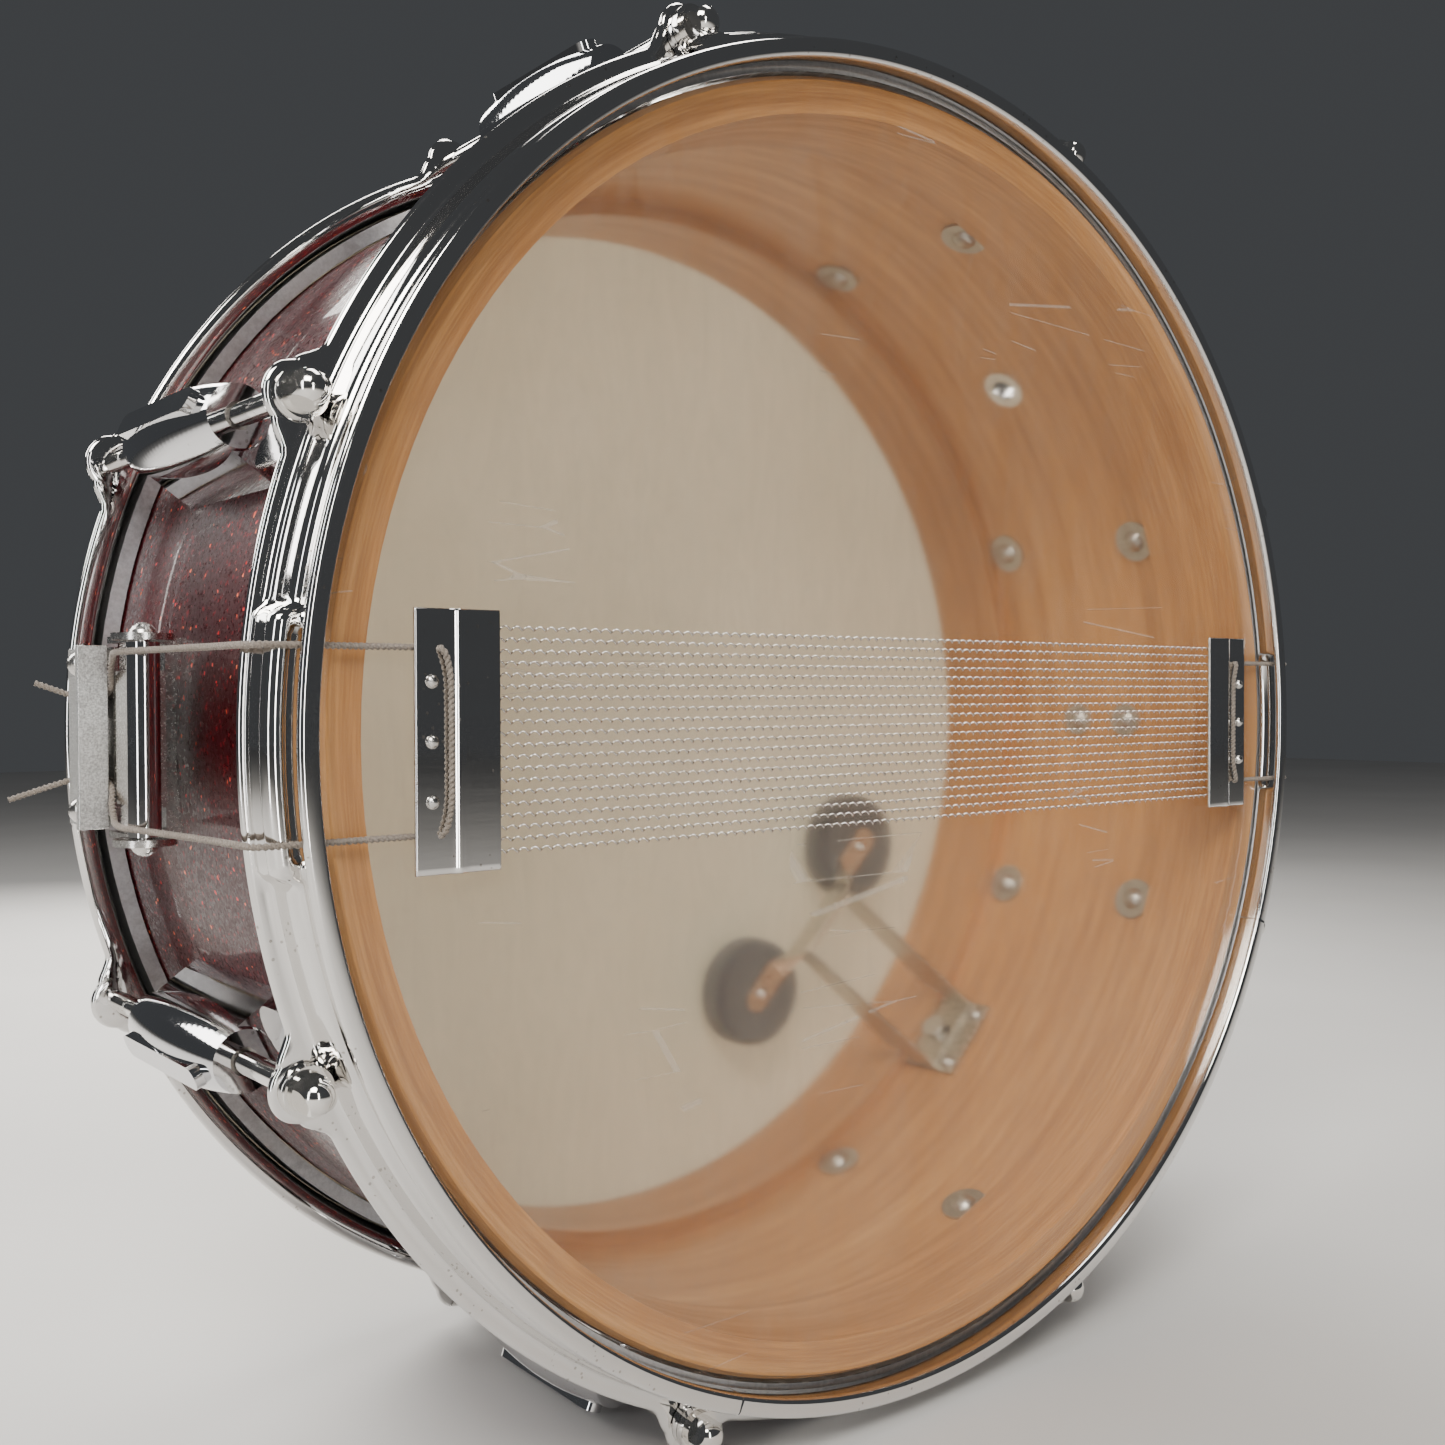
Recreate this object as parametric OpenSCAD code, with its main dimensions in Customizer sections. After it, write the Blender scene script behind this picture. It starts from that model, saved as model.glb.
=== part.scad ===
// Snare drum, 14 inch by 5.5 inch, standing on the edge of its two hoops.
// Frame: +Z up, the drum's axis along Y, the snare side towards -Y, the strainer at -X, the butt at +X.
// Origin: on the drum's axis, in the plane of the snare-side rim.

/* [Shell] */
// Outer diameter of the shell with its wrap
shell_d = 355.6; // [354:0.2:357]
// Depth of the shell from edge to edge
shell_depth = 139.7; // [136:0.1:144]
// Thickness of the maple shell wall
shell_wall = 4.5; // [4:0.1:5.5]
// Thickness of the sparkle wrap
wrap_t = 0.5; // [0.4:0.1:0.7]
// Thickness of each reinforcement ring
ring_wall = 5.3; // [4.5:0.1:6]
// Height of each reinforcement ring
ring_h = 31; // [28:0.5:31]

/* [Hoops and heads] */
// How far the rim stands above the bearing edge
rim_rise = 7; // [6.5:0.1:8]
// Radius of the circle of tension rods
rod_circle_r = 192; // [191.5:0.1:192.5]
// Outer radius of the hoop's flange between the ears
flange_r = 190.8; // [189.5:0.1:191]
// Radius of the round end of an ear
ear_r = 7.4; // [7:0.1:7.8]
// Thickness of the hoop's steel
hoop_t = 1.8; // [1.6:0.1:2]
// Length of each snare gate along the hoop
gate_l = 58; // [54:1:60]
// Thickness of a head's film
film_t = 0.2; // [0.15:0.05:0.3]

/* [Lugs and tension rods] */
// Number of lugs
lug_count = 8; // [8]
// Length of a lug's body
lug_l = 58; // [56:1:60]
// Distance between the two screws of a lug
lug_screw_gap = 60; // [58:0.5:61]
// Shank diameter of a tension rod
rod_d = 5.4; // [5.2:0.1:5.4]
// Side of a rod's square drive
rod_square = 6.4; // [6.2:0.1:6.6]

/* [Snares] */
// Number of coiled strands
strand_count = 20; // [16:1:20]
// Outer diameter of a coiled strand
strand_d = 1.4; // [1.3:0.1:1.6]
// Pitch between strands
strand_pitch = 2.63; // [2.5:0.01:2.7]
// Width of an end plate across the strands
end_plate_w = 57.6; // [56:0.2:58]
// Length of an end plate along the strands
end_plate_l = 21; // [20:0.5:22]
// Diameter of the snare cord
cord_d = 1.6; // [1.5:0.1:1.6]

/* [Strainer and butt] */
// Length of the strainer's barrel
barrel_l = 45; // [44:0.5:45]
// Radius of the barrel
barrel_r = 3.7; // [3.5:0.1:3.8]
// Length of the cord clamp's block across the drum
block_w = 44.6; // [44:0.2:47]

/* [Muffler] */
// Diameter of a felt pad
pad_d = 40; // [38:1:42]
// Thickness of a felt pad
pad_t = 12; // [10:0.5:12]
// Diameter of the outside knob
muffler_knob_d = 19; // [18:0.5:21]

/* [Hidden] */

// Shell
wrap_r = shell_d / 2;
wood_r = wrap_r - wrap_t;
inner_r = wood_r - shell_wall;
ring_inner_r = inner_r - ring_wall;
edge_y = rim_rise;
far_edge_y = edge_y + shell_depth;
mid_y = edge_y + shell_depth / 2;
apex_r = wood_r - 1.7;
edge_round = 2.2;
edge_slope_y = edge_y + 0.3;
wrap_margin = 6;
vent_r = 5;
vent_angle = 45;
muffler_angle = -45;

// Hoops: one profile of radius and distance from the rim plane
rim_in_r = 179.6;
rim_out_r = 184.6;
collar_y = 6.8;
flange_y = 16;
ear_y = flange_y - 0.05;
hoop_h = flange_y + 2;
ear_fillet_r = 13;
rod_hole_r = 3.3;
first_lug_angle = 360 / lug_count / 2;

// Heads
collar_in_r = wrap_r + 0.3;
flesh_r = [collar_in_r + film_t + 0.02, 182.5];
flesh_y = [8.7, 17];

// Lugs
lug_end_r = 7.4;
lug_mid_r = 10;
lug_wall = 2.2;
lug_tail_l = 37;
nut_l = 12;
nut_r = 4.6;
washer_t = 1.2;
screw_r = 2;
screw_hole_r = 2.2;
head_r = 4;

// Snares, measured from the rim plane
strand_y = edge_y - film_t - 0.55 - strand_d / 2;
strand_ends = [-142, 149];
plate_t = 0.8;
plate_y = strand_y - strand_d / 2 - 0.3 - plate_t;
plate_x = [-157, 162];
hole_x = [-151, 156];
rivet_x = [-153, 158.6];
rivet_pitch = 13;
cord_z = 20.3;
cord_gate_y = 4.4;
cord_saddle_r = 192.4;

// Strainer: the barrel turns about a line along Z
pivot_x = -192.6;
pivot_y = 68;
cheek_t = 1.6;
cheek_z = barrel_l / 2 + 0.4;
cap_r = 7;
pin_r = 1.5;
arm_w = 32;
arm_x = [-190.1, -187.5];
knuckle_x = -192.3;
bar_x = [-191.6, -190.4];
block_x = [-200.2, -193.2];
block_back_x = -197.8;
block_y = [92, 108];
boss_w = 9;
boss_y = [98, 104];
knob_x = -187.2;
knob_shaft_r = 1.5;
knob_tab_y = [111, 113];
strainer_screw_y = [95, 108];
clamp_screw_z = 18;
base_x = -180.4;

// Butt
butt_pad_x = 190.5;
butt_bar_x = [192.3, 193.7];

// Muffler, in a frame whose X is radial and whose Z is tangential
muffler_in = 105;
stirrup_w = 30;
strap_t = 1.2;
muffler_shaft_y = 108;
muffler_base_x = [169.9, 171.4];
stirrup_back_x = 169.5;
pad_y = 130;
pad_z = 35.7;
paddle_t = 1;
paddle_y = pad_y - paddle_t;

big = 180;
small = 48;

// ---------- helpers ----------

// A profile of [radius, distance along the drum's axis], turned about that axis
module turned(points) {
    rotate([-90, 0, 0]) rotate_extrude($fn = big) polygon(points);
}

// Places children at an angle round the drum: X radial, Y along the axis, Z tangential
module around(angle) {
    rotate([0, -angle, 0]) children();
}

module at_lug(i) {
    around(first_lug_angle + (i - 1) * 360 / lug_count) children();
}

// Turns the snare side into the batter side
module batter_side() {
    translate([0, 2 * mid_y, 0]) mirror([0, 1, 0]) children();
}

// A round bar along Y from y0 to y1
module bar_y(r, y0, y1, fn = small) {
    translate([0, y0, 0]) rotate([-90, 0, 0]) cylinder(r = r, h = y1 - y0, $fn = fn);
}

// A round bar along X from x0 to x1
module bar_x(r, x0, x1, fn = small) {
    translate([x0, 0, 0]) rotate([0, 90, 0]) cylinder(r = r, h = x1 - x0, $fn = fn);
}

// A round bar along Z from z0 to z1
module bar_z(r, z0, z1, fn = small) {
    translate([0, 0, z0]) cylinder(r = r, h = z1 - z0, $fn = fn);
}

module block(x, y, z) {
    translate([x[0], y[0], z[0]]) cube([x[1] - x[0], y[1] - y[0], z[1] - z[0]]);
}

// A slab between two depths in X, with half-round ends along Y
module stadium_x(x, y, w) {
    block(x, [y[0] + w / 2, y[1] - w / 2], [-w / 2, w / 2]);
    for (end = [y[0] + w / 2, y[1] - w / 2]) translate([0, end, 0]) bar_x(w / 2, x[0], x[1]);
}

// A domed head whose flat side lies at x = 0 and whose dome points along +X
module dome_x(r, h) {
    ball = (r * r + h * h) / (2 * h);
    half = asin(r / ball);
    rotate([0, 90, 0]) rotate_extrude($fn = small) polygon(concat([[0, -0.02], [r, -0.02]],
        [for (k = [0:5]) let (a = half * (1 - k / 5)) [ball * sin(a), h - ball + ball * cos(a)]]));
}

// The solid core inside the shell's outer surface, for cutting feet to its curve
module shell_core(r) {
    bar_y(r, -10, 2 * mid_y + 10, big);
}

// A tube swept along points: one ring of 8 corners at each point
function unit(v) = v / norm(v);
function tangent(p, i) = unit(p[min(i + 1, len(p) - 1)] - p[max(i - 1, 0)]);
function side_of(t) = unit(cross(t, abs(t[1]) < 0.9 ? [0, 1, 0] : [1, 0, 0]));
function carried(p, i) =
    i == 0 ? side_of(tangent(p, 0))
    : let (s = carried(p, i - 1), t = tangent(p, i)) unit(s - (s * t) * t);
function ring(p, i, r) =
    let (t = tangent(p, i), s = carried(p, i), u = cross(t, s))
    [for (k = [0:7]) p[i] + r * (cos(45 * k) * s + sin(45 * k) * u)];
function flat(lists) = [for (l = lists) for (item = l) item];
module tube(p, r) {
    n = len(p);
    sides = flat([for (i = [0:n - 2]) [for (k = [0:7])
        [8 * i + k, 8 * i + (k + 1) % 8, 8 * (i + 1) + (k + 1) % 8, 8 * (i + 1) + k]]]);
    ends = [[for (k = [7:-1:0]) k], [for (k = [0:7]) 8 * (n - 1) + k]];
    polyhedron(flat([for (i = [0:n - 1]) ring(p, i, r)]), concat(sides, ends));
}

// A smooth curve through hand-chosen points, with three steps between neighbours
function spline_at(a, b, c, d, t) =
    0.5 * (2 * b + (c - a) * t + (2 * a - 5 * b + 4 * c - d) * t * t + (3 * b - a - 3 * c + d) * t * t * t);
function smooth(p, steps = 3) = concat(
    flat([for (i = [0:len(p) - 2]) [for (k = [0:steps - 1])
        spline_at(p[max(i - 1, 0)], p[i], p[i + 1], p[min(i + 2, len(p) - 1)], k / steps)]]),
    [p[len(p) - 1]]);
function mirrored(p) = [for (i = [len(p) - 1:-1:0]) [p[i][0], p[i][1], -p[i][2]]];

// ---------- shell ----------

module shell_holes() {
    for (i = [1:lug_count]) at_lug(i) for (s = [-1, 1])
        translate([0, mid_y + s * lug_screw_gap / 2, 0]) bar_x(screw_hole_r, 150, 190);
    around(vent_angle) translate([0, mid_y, 0]) bar_x(vent_r, 150, 190);
    around(muffler_angle) {
        translate([0, muffler_shaft_y, 0]) bar_x(2.9, 150, 190);
        for (s = [-1, 1]) translate([0, 96.5, s * 11]) bar_x(1.5, 150, 190);
    }
    for (y = [60, 82]) translate([0, y, 0]) bar_x(screw_hole_r, 150, 190);
    for (y = strainer_screw_y) translate([0, y, 0]) bar_x(screw_hole_r, -190, -150);
}

// The shell's edge falls away gently inwards from a narrow apex and rounds over outwards
module shell() {
    color("burlywood") difference() {
        turned([
            [inner_r, edge_slope_y], [apex_r - 0.3, edge_y], [apex_r + 0.3, edge_y],
            [wood_r, edge_y + edge_round], [wood_r, far_edge_y - edge_round],
            [apex_r + 0.3, far_edge_y], [apex_r - 0.3, far_edge_y],
            [inner_r, 2 * mid_y - edge_slope_y]]);
        shell_holes();
    }
}

module reinforcement_rings() {
    color("tan") for (side = [0, 1]) {
        points = [
            [inner_r, edge_slope_y], [inner_r, edge_y + ring_h], [ring_inner_r, edge_y + ring_h],
            [ring_inner_r, edge_slope_y + 0.6]];
        if (side == 0) turned(points); else batter_side() turned(points);
    }
}

module shell_wrap() {
    color("darkred") difference() {
        turned([
            [wood_r, edge_y + wrap_margin], [wrap_r, edge_y + wrap_margin],
            [wrap_r, far_edge_y - wrap_margin], [wood_r, far_edge_y - wrap_margin]]);
        shell_holes();
    }
}

module vent_grommet() {
    color("silver") around(vent_angle) translate([0, mid_y, 0]) difference() {
        union() {
            bar_x(vent_r - 0.05, inner_r - 1, wrap_r + 1);
            bar_x(8, wrap_r + 0.05, wrap_r + 1.4);
            bar_x(7.5, inner_r - 1.5, inner_r - 0.25);
        }
        bar_x(vent_r - 1, 150, 190);
    }
}

// ---------- hoops ----------

hoop_profile = [
    [rim_in_r + 1, 0], [rim_out_r - 0.7, 0], [rim_out_r, 0.7], [rim_out_r, hoop_t],
    [rim_in_r + hoop_t, hoop_t], [rim_in_r + hoop_t, collar_y], [rim_out_r, collar_y],
    [rim_out_r + 1.2, 14.2], [rim_out_r + 1.7, flange_y], [flange_r, flange_y], [flange_r, hoop_h],
    [rim_out_r + 0.4, hoop_h], [rim_out_r - 0.6, 14.4], [rim_out_r - hoop_t, collar_y + hoop_t],
    [rim_in_r, collar_y + hoop_t], [rim_in_r, 1]];

// The ear's flanks are arcs that run out of the flange's edge and into the ear's round end
module ear() {
    c = flange_r + ear_fillet_r;
    d = ear_r + ear_fillet_r;
    a = acos((c * c + rod_circle_r * rod_circle_r - d * d) / (2 * c * rod_circle_r));
    centre = [c * cos(a), c * sin(a)];
    start = 180 + a;
    end = 180 + atan2(centre[1], centre[0] - rod_circle_r);
    flank = [for (k = [1:12]) let (t = start + (end - start) * k / 12)
        centre + ear_fillet_r * [cos(t), sin(t)]];
    crown = [for (k = [1:11]) let (t = (end - 180) * (1 - k / 12))
        [rod_circle_r + ear_r * cos(t), ear_r * sin(t)]];
    root = [rim_out_r + 2.6, (flange_r - 1.4) * sin(a)];
    half = concat([root], flank, crown);
    other = [for (k = [len(half) - 1:-1:0]) [half[k][0], -half[k][1]]];
    translate([0, ear_y, 0]) rotate([-90, 0, 0]) linear_extrude(hoop_h - flange_y + 0.1)
        polygon(concat(half, [[rod_circle_r + ear_r, 0]], other));
}

module plain_hoop() {
    difference() {
        union() {
            turned(hoop_profile);
            for (i = [1:lug_count]) at_lug(i) ear();
        }
        for (i = [1:lug_count]) at_lug(i)
            translate([rod_circle_r, 0, 0]) bar_y(rod_hole_r, flange_y - 1, hoop_h + 1);
    }
}

// A pressed saddle stands out from the collar behind each gate, and the cords run over it
saddle_profile = [
    [184.7, 5.6], [188.4, 5.6], [190.7, 6.6], [191.4, 8.4], [191.4, 11.4], [190.4, 13.4],
    [187.4, 15.9], [185.9, 15.9], [185.7, 14.2], [188.2, 12.6], [189.6, 11], [189.6, 9],
    [189, 7.8], [188, 7.2], [184.7, 7.2]];

module snare_hoop() {
    color("gainsboro") {
        difference() {
            plain_hoop();
            for (s = [-1, 1]) mirror([s < 0 ? 1 : 0, 0, 0])
                block([178, 196], [hoop_t, collar_y + hoop_t + 0.01], [-gate_l / 2, gate_l / 2]);
        }
        intersection() {
            turned(saddle_profile);
            for (s = [-1, 1]) mirror([s < 0 ? 1 : 0, 0, 0])
                block([150, 196], [5, 17], [-gate_l / 2 - 1, gate_l / 2 + 1]);
        }
    }
}

module batter_hoop() {
    color("gainsboro") batter_side() plain_hoop();
}

// ---------- heads ----------

// The film lies flat on the bearing edge, then turns down into the flesh hoop
module head_film() {
    turned([
        [0, edge_y - film_t], [apex_r + 0.4, edge_y - film_t], [collar_in_r + film_t, edge_y + 1.4],
        [collar_in_r + film_t, flesh_y[1] - 3], [collar_in_r, flesh_y[1] - 3],
        [collar_in_r, edge_y + 1.5], [apex_r + 0.3, edge_y], [0, edge_y]]);
}

module flesh_hoop() {
    turned([
        [flesh_r[0], flesh_y[0]], [flesh_r[1] - 0.8, flesh_y[0]], [flesh_r[1], flesh_y[0] + 0.8],
        [flesh_r[1], flesh_y[1]], [flesh_r[0], flesh_y[1]]]);
}

module snare_head() {
    color("ivory", 0.4) head_film();
}

module batter_head() {
    color("ivory") batter_side() head_film();
}

module snare_flesh_hoop() {
    color("silver") flesh_hoop();
}

module batter_flesh_hoop() {
    color("silver") batter_side() flesh_hoop();
}

// ---------- lugs and tension rods ----------

// Half of the spindle's outline: fullest in the middle, slim and round-shouldered at the ends
lug_steps = 12;
lug_outline = [for (k = [-lug_steps:lug_steps]) let (t = k / lug_steps)
    [lug_end_r + (lug_mid_r - lug_end_r) * (1 - t * t), mid_y + t * lug_l / 2]];

module lug() {
    wall_y = mid_y - lug_l / 2 + lug_wall;
    color("gainsboro") difference() {
        union() {
            translate([rod_circle_r, 0, 0]) rotate([-90, 0, 0]) rotate_extrude($fn = small)
                polygon(concat([[0, mid_y - lug_l / 2]], lug_outline, [[0, mid_y + lug_l / 2]]));
            // Skirt from the spindle down to the shell
            translate([0, mid_y - lug_l / 2 + 2, 0]) rotate([-90, 0, 0]) linear_extrude(lug_l - 4)
                polygon([[176, -10.5], [181, -9.5], [rod_circle_r, -7], [rod_circle_r, 7], [181, 9.5],
                    [176, 10.5]]);
            // Tail plate along the shell, with its two screw bosses
            translate([0, mid_y, 0]) stadium_x([176, 181.5], [-lug_tail_l, lug_tail_l], 15);
            // Raised rib along the crown
            translate([0, mid_y, 0])
                stadium_x([rod_circle_r, rod_circle_r + lug_mid_r + 0.4], [-24, 24], 6);
        }
        shell_core(wrap_r + 0.02);
        block([170, rod_circle_r + 5.6], [wall_y, 2 * mid_y - wall_y], [-5.2, 5.2]);
        translate([rod_circle_r, 0, 0]) bar_y(rod_hole_r, mid_y - lug_l / 2 - 1, mid_y + lug_l / 2 + 1);
        for (s = [-1, 1]) translate([0, mid_y + s * lug_screw_gap / 2, 0])
            bar_x(screw_r + 0.02, 170, 180.5);
    }
}

// One swivel nut sits against each end wall of a lug
module swivel_nuts() {
    wall_y = mid_y - lug_l / 2 + lug_wall;
    color("silver") for (i = [1:lug_count]) at_lug(i) for (side = [0, 1])
        translate([rod_circle_r, 0, 0]) {
            y0 = side == 0 ? wall_y + 0.02 : 2 * mid_y - wall_y - nut_l - 0.02;
            difference() {
                bar_y(nut_r, y0, y0 + nut_l);
                bar_y(rod_d / 2 + 0.05, y0 - 1, y0 + nut_l + 1);
            }
        }
}

// A screw from inside the shell: round washer, low domed head and shank
module inside_screw(washer_r, tip_x) {
    washer_x = sqrt(inner_r * inner_r - washer_r * washer_r) - 0.02;
    bar_x(washer_r, washer_x - 1, washer_x);
    translate([washer_x - 1, 0, 0]) mirror([1, 0, 0]) dome_x(head_r, 2.4);
    bar_x(screw_r, washer_x - 0.5, tip_x);
}

module lug_screws() {
    color("silver") for (i = [1:lug_count]) at_lug(i) for (s = [-1, 1])
        translate([0, mid_y + s * lug_screw_gap / 2, 0]) inside_screw(7.5, 180.3);
}

module rod_washers() {
    module washer() {
        difference() {
            bar_y(5.6, ear_y - washer_t, ear_y - 0.02);
            bar_y(rod_hole_r - 0.2, flange_y - 3, flange_y + 1);
        }
    }
    color("silver") for (i = [1:lug_count]) at_lug(i) translate([rod_circle_r, 0, 0]) {
        washer();
        batter_side() washer();
    }
}

// A tension rod: domed square drive, flanged collar, neck and shank
module tension_rod() {
    top_y = 5;
    seat_y = ear_y - washer_t - 0.3;
    tip_y = mid_y - lug_l / 2 + lug_wall + nut_l + 3;
    translate([rod_circle_r, 0, 0]) {
        intersection() {
            block([-rod_square / 2, rod_square / 2], [top_y, seat_y], [-rod_square / 2, rod_square / 2]);
            turned_ball_y(top_y, 4.4);
        }
        bar_y(5.7, seat_y - 2, seat_y);
        bar_y(4.6, seat_y - 3.2, seat_y - 1);
        bar_y(rod_d / 2, seat_y - 1, tip_y);
    }
}

// A bullet-nosed bar along Y whose tip touches y0
module turned_ball_y(y0, r) {
    translate([0, y0 + r, 0]) sphere(r = r, $fn = small);
    bar_y(r, y0 + r, y0 + 20);
}

module snare_rod(i) {
    color("gainsboro") at_lug(i) tension_rod();
}

module batter_rod(i) {
    color("gainsboro") at_lug(i) batter_side() tension_rod();
}

// ---------- strainer ----------

module cheek_outline(z0) {
    translate([pivot_x, pivot_y, 0]) bar_z(cap_r, z0, z0 + cheek_t);
    block([pivot_x, -185], [pivot_y, 94], [z0, z0 + cheek_t]);
    block([-186, base_x + 1], [89, 94], [z0, z0 + cheek_t]);
}

module strainer_base() {
    color("silver") difference() {
        union() {
            block([base_x, -172], [89, 124], [-cheek_z - cheek_t, cheek_z + cheek_t]);
            cheek_outline(cheek_z);
            cheek_outline(-cheek_z - cheek_t);
        }
        shell_core(wrap_r + 0.02);
        translate([pivot_x, pivot_y, 0]) bar_z(pin_r + 0.02, -40, 40);
        for (y = strainer_screw_y) translate([0, y, 0]) bar_x(screw_r + 0.02, -179.8, -170);
    }
}

module strainer_pivot_screws() {
    color("silver") translate([pivot_x, pivot_y, 0]) for (s = [-1, 1]) mirror([0, 0, s < 0 ? 1 : 0]) {
        bar_z(pin_r, barrel_l / 2 - 7, cheek_z + cheek_t + 0.5);
        translate([0, 0, cheek_z + cheek_t + 0.02]) rotate([0, -90, 0]) dome_x(3.2, 2.6);
    }
}

module strainer_barrel() {
    color("gainsboro") translate([pivot_x, pivot_y, 0]) difference() {
        bar_z(barrel_r, -barrel_l / 2, barrel_l / 2);
        for (s = [0, 1]) mirror([0, 0, s]) bar_z(pin_r + 0.06, barrel_l / 2 - 8, barrel_l / 2 + 1);
    }
}

// The arm carries the clamp; its two wings end in a finger bar beyond the knob
module strainer_arm() {
    w = arm_w / 2;
    color("silver") difference() {
        union() {
            block([knuckle_x, arm_x[1]], [pivot_y, 89], [-w, w]);
            block(arm_x, [pivot_y + 4, 125], [-w, w]);
            block([arm_x[1] - 1, -184.6], knob_tab_y, [-6, 6]);
            translate([(arm_x[0] + arm_x[1]) / 2, 126, 0]) bar_z(2.4, -w, w);
        }
        translate([pivot_x, pivot_y, 0]) bar_z(barrel_r + 0.02, -40, 40);
        block([arm_x[0] - 0.5, arm_x[1] + 0.5], [boss_y[0] - 1, boss_y[1] + 5], [-5.2, 5.2]);
        block([arm_x[0] - 3, arm_x[1] + 6], [knob_tab_y[1], 121.5], [-6.5, 6.5]);
        translate([knob_x, 0, 0]) bar_y(knob_shaft_r + 0.06, boss_y[1] + 4, knob_tab_y[1] + 1);
    }
}

// The clamp's block has a front lip; its boss reaches through the arm and takes the tension screw
module cord_clamp_block() {
    color("lightgray") difference() {
        union() {
            block(block_x, [block_y[0], block_y[0] + 2.2], [-block_w / 2, block_w / 2]);
            block([block_back_x, block_x[1]], block_y, [-block_w / 2 + 0.6, block_w / 2 - 0.6]);
            block([block_x[1] - 1, -184.9], boss_y, [-boss_w / 2, boss_w / 2]);
        }
        translate([knob_x, 0, 0]) bar_y(knob_shaft_r + 0.06, boss_y[0] - 1, boss_y[1] + 1);
        for (s = [-1, 1]) translate([0, 100, s * clamp_screw_z])
            bar_x(1.52, block_x[0] - 1, block_x[1] + 1);
    }
}

module cord_clamp_bar() {
    color("silver") difference() {
        block(bar_x, [93, 107], [-22, 22]);
        block([bar_x[0] - 1, bar_x[1] + 1], boss_y + [-0.02, 0.02],
            [-boss_w / 2 - 0.02, boss_w / 2 + 0.02]);
        for (s = [-1, 1]) translate([0, 100, s * clamp_screw_z]) bar_x(1.52, -195, -185);
    }
}

module cord_clamp_screws() {
    color("silver") for (s = [-1, 1]) translate([0, 100, s * clamp_screw_z]) {
        bar_x(1.5, block_back_x - 0.5, bar_x[1]);
        translate([block_back_x - 0.04, 0, 0]) mirror([1, 0, 0]) dome_x(3.2, 2.5);
    }
}

module snare_tension_knob() {
    knob_y = knob_tab_y[1] + 0.3;
    color("silver") translate([knob_x, 0, 0]) {
        bar_y(knob_shaft_r, boss_y[0] + 0.5, knob_y + 1);
        difference() {
            bar_y(4, knob_y, knob_y + 6.5);
            for (k = [0:15]) rotate([0, k * 22.5, 0]) translate([4.2, 0, 0])
                bar_y(0.5, knob_y + 1, knob_y + 8, 16);
        }
    }
}

// ---------- butt ----------

module butt_plate() {
    color("gainsboro") difference() {
        union() {
            block([172, 181], [53, 90], [-21, 21]);
            block([180, butt_pad_x], [61, 81], [-24, 24]);
        }
        shell_core(wrap_r + 0.02);
        for (y = [60, 82]) translate([0, y, 0]) bar_x(screw_r + 0.02, 170, 180.6);
        for (s = [-1, 1]) translate([0, 71, s * 11]) bar_x(1.52, butt_pad_x - 6, butt_pad_x + 1);
    }
}

module butt_clamp_bar() {
    color("silver") difference() {
        block(butt_bar_x, [64, 78], [-23, 23]);
        for (s = [-1, 1]) translate([0, 71, s * 11]) bar_x(1.52, 190, 200);
    }
}

// Screws of the brackets: butt and strainer from inside, the clamp's pair and the muffler's pair
module bracket_screws() {
    color("silver") {
        for (y = [60, 82]) translate([0, y, 0]) inside_screw(6, 180.4);
        for (y = strainer_screw_y) translate([0, y, 0]) mirror([1, 0, 0]) inside_screw(6, 179.6);
        for (s = [-1, 1]) translate([0, 71, s * 11]) {
            bar_x(1.5, butt_pad_x - 5.5, butt_bar_x[1] + 0.5);
            translate([butt_bar_x[1] + 0.02, 0, 0]) dome_x(3.2, 2.5);
        }
        around(muffler_angle) for (s = [-1, 1]) translate([0, 96.5, s * 11]) {
            bar_x(1.45, muffler_base_x[0] - 0.5, 176);
            translate([muffler_base_x[0] - 0.02, 0, 0]) mirror([1, 0, 0]) dome_x(3, 1.8);
        }
    }
}

// ---------- snares ----------

module snare_end_plates() {
    color("gainsboro") for (k = [0, 1]) {
        x = k == 0 ? [plate_x[0], plate_x[0] + end_plate_l] : [plate_x[1] - end_plate_l, plate_x[1]];
        difference() {
            block(x, [plate_y, plate_y + plate_t], [-end_plate_w / 2, end_plate_w / 2]);
            for (s = [-1, 1]) translate([hole_x[k], 0, s * cord_z]) bar_y(1.3, 0, 8);
            for (j = [-1:1]) translate([rivet_x[k], 0, j * rivet_pitch]) bar_y(0.82, 0, 8);
        }
    }
}

module snare_strands() {
    color("lightgray") for (i = [0:strand_count - 1])
        translate([0, strand_y, (i - (strand_count - 1) / 2) * strand_pitch])
            bar_x(strand_d / 2, strand_ends[0], strand_ends[1], 16);
}

module end_plate_rivets() {
    color("silver") for (k = [0, 1], j = [-1:1]) translate([rivet_x[k], 0, j * rivet_pitch]) {
        bar_y(0.8, plate_y - 0.5, plate_y + plate_t + 0.3);
        translate([0, plate_y - 0.02, 0]) rotate([0, 0, -90]) dome_x(1.6, 1.5);
    }
}

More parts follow.
